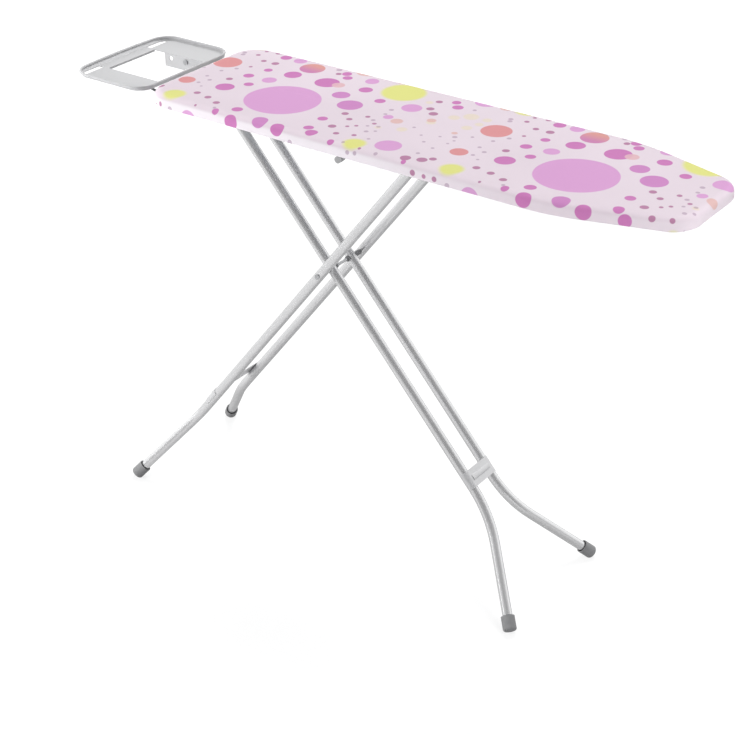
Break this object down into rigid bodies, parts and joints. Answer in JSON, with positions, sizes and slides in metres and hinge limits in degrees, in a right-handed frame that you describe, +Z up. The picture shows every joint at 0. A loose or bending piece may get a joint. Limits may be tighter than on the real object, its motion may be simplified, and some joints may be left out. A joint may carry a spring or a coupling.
{
  "type": "ironing board",
  "caption": "Folding ironing board: padded cotton-covered top with a blunt nose, pressed-steel iron rest, crossed tubular leg frames on capped feet, and a lever-released height brake.",
  "frame": {"origin": "on the floor, midway between the outer end of the iron rest and the nose", "axes": "+X towards the nose, +Y to the side away from the lever grip, +Z up"},
  "size_m": [1.3635, 0.3492, 0.9313],
  "materials": {
    "cover_cotton": "printed cotton, matt",
    "pad_foam": "matt",
    "frame_paint": "light grey gloss paint",
    "tube_paint": "silver-grey gloss paint",
    "plate_paint": "light grey gloss paint",
    "rest_paint": "grey satin paint",
    "arm_paint": "dark grey satin paint",
    "rod_steel": "zinc-plated, satin",
    "foot_plastic": "fine matt",
    "grip_plastic": "fine matt",
    "dark_plastic": "satin",
    "lining_rubber": "matt"
  },
  "bodies": {
    "board": {"rim_frame": "frame_paint", "mesh_top": "frame_paint", "rear_strut": "frame_paint", "hinge_strut": "frame_paint", "middle_strut": "frame_paint", "lever_strut": "frame_paint", "centre_strut": "frame_paint", "front_strut": "frame_paint", "foam_pad": "pad_foam", "cover": "cover_cotton", "leg_hinge_bracket": "frame_paint", "leg_hinge_rod": "rod_steel", "guide_rail_near": "frame_paint", "guide_rail_far": "frame_paint", "lever_bracket_outer": "frame_paint", "lever_bracket_inner": "frame_paint", "brake_bracket": "frame_paint", "brake_pivot_pin": "rod_steel", "rest_rim": "rest_paint", "rest_tray": "rest_paint", "rest_arm_near": "arm_paint", "rest_arm_far": "arm_paint", "rest_socket_near": "frame_paint", "rest_socket_far": "frame_paint", "rest_screws": "rod_steel", "lever_spring": "rod_steel"},
    "inner_legs": {"inner_leg_near": "tube_paint", "inner_leg_far": "tube_paint", "inner_leg_plate": "plate_paint", "inner_foot_near": "foot_plastic", "inner_foot_far": "foot_plastic"},
    "outer_legs": {"outer_leg_near": "tube_paint", "outer_leg_far": "tube_paint", "outer_leg_plate": "plate_paint", "outer_foot_near": "foot_plastic", "outer_foot_far": "foot_plastic", "slider_rod": "rod_steel", "slider_glides": "dark_plastic", "pivot_axle": "rod_steel", "pivot_spacers": "dark_plastic", "pivot_nuts": "dark_plastic"},
    "lever": {"lever_rod": "rod_steel", "lever_grip": "grip_plastic"},
    "brake": {"brake_bar": "frame_paint", "brake_lining": "lining_rubber"}
  },
  "joints": [
    {"name": "inner_fold", "type": "hinge", "parent": "board", "child": "inner_legs", "pos_m": [-0.35483, 0, 0.875], "axis": [0, -1, 0], "range_deg": [0, 47.1]},
    {"name": "outer_fold", "type": "hinge", "parent": "inner_legs", "child": "outer_legs", "pos_m": [-0.105, 0, 0.5943], "axis": [0, 1, 0], "range_deg": [0, 98.05]},
    {"name": "lever_press", "type": "hinge", "parent": "board", "child": "lever", "pos_m": [0.01846, 0, 0.902], "axis": [0, -1, 0], "range_deg": [0, 8], "stiffness_Nm_per_rad": 1.5, "springref_deg": -5.73},
    {"name": "brake_lift", "type": "hinge", "parent": "board", "child": "brake", "pos_m": [0.4549, 0, 0.888], "axis": [0, 1, 0], "range_deg": [0, 0.79]}
  ],
  "couplings": [
    {"joint": "outer_fold", "follows": "inner_fold", "ratio": 2.0813},
    {"joint": "brake_lift", "follows": "lever_press", "ratio": 0.0974}
  ]
}
